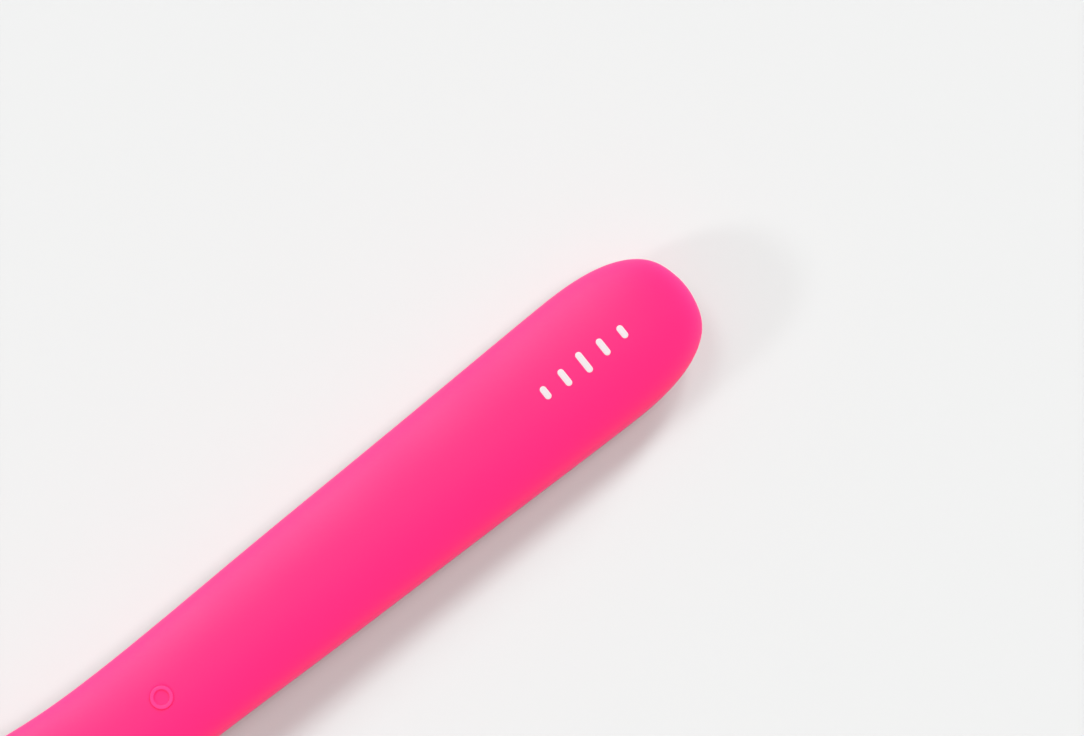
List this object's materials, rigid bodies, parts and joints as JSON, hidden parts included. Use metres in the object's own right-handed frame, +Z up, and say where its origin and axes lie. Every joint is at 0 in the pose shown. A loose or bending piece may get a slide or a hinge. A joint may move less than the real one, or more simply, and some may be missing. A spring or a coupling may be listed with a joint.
{
  "type": "ultrasonic skin scrubber",
  "caption": "Rechargeable ultrasonic skin scrubber: a silicone-covered handle with a press button, widening to a flat head that holds a curved steel spatula blade.",
  "frame": {"origin": "on the supporting surface, half way along the overall length and on the symmetry plane", "axes": "+X along the handle to its rounded end, +Y across it, +Z up, out of the button"},
  "size_m": [0.198, 0.0322, 0.022],
  "materials": {
    "pink_silicone": "soft matte",
    "pink_plastic": "satin",
    "grey_rubber": "matte",
    "white_plastic": "fine moulded grain",
    "black_plastic": "matte",
    "blade_steel": "finely brushed",
    "screw_steel": "zinc plated",
    "board_laminate": "solder mask",
    "solder": "tinned",
    "ceramic": "fired ceramic",
    "ferrite": "sintered",
    "winding_tape": "polyester tape",
    "cell_foil": "satin foil",
    "foam": "closed-cell foam",
    "red_insulation": "gloss",
    "black_insulation": "gloss",
    "light_lens": "clear resin",
    "contact_plating": "plated"
  },
  "bodies": {
    "body": {"silicone_skin": "pink_silicone", "head_collar": "pink_plastic", "blade_seal": "grey_rubber", "upper_chassis": "white_plastic", "lower_chassis": "white_plastic", "case_screws": "screw_steel", "blade": "blade_steel", "piezo_plates": "ceramic", "piezo_electrodes": "solder", "front_isolator": "grey_rubber", "rear_isolator": "grey_rubber", "anchor_grommet": "grey_rubber", "anchor_screw": "screw_steel", "piezo_lead_upper": "red_insulation", "piezo_lead_lower": "black_insulation", "battery_cell": "cell_foil", "battery_protection_board": "board_laminate", "battery_pad": "foam", "battery_connector": "white_plastic", "battery_lead_red": "red_insulation", "battery_lead_black": "black_insulation", "socket_housing": "black_plastic", "socket_contact": "contact_plating", "socket_tip_spring": "contact_plating", "charge_lead_red": "red_insulation", "charge_lead_black": "black_insulation", "main_board": "board_laminate", "controller_chip": "black_plastic", "charger_chip": "black_plastic", "drive_transistors": "black_plastic", "status_light": "light_lens", "capacitors": "ceramic", "small_passives": "black_plastic", "switch_base": "black_plastic", "transformer_core": "ferrite", "transformer_winding": "winding_tape", "power_inductor": "ferrite"},
    "button": {"power_button": "pink_silicone"},
    "plunger": {"switch_plunger": "black_plastic"}
  },
  "joints": [
    {"name": "button_press", "type": "slide", "parent": "body", "child": "button", "axis": [-0.0274, 0, -0.9996], "range_m": [0, 0.00035], "stiffness_N_per_m": 1500},
    {"name": "switch_plunger_press", "type": "slide", "parent": "body", "child": "plunger", "axis": [-0.0274, 0, -0.9996], "range_m": [0, 0.00035], "stiffness_N_per_m": 0.005, "springref_m": -0.0075}
  ],
  "couplings": [
    {"joint": "switch_plunger_press", "follows": "button_press", "ratio": 1}
  ]
}
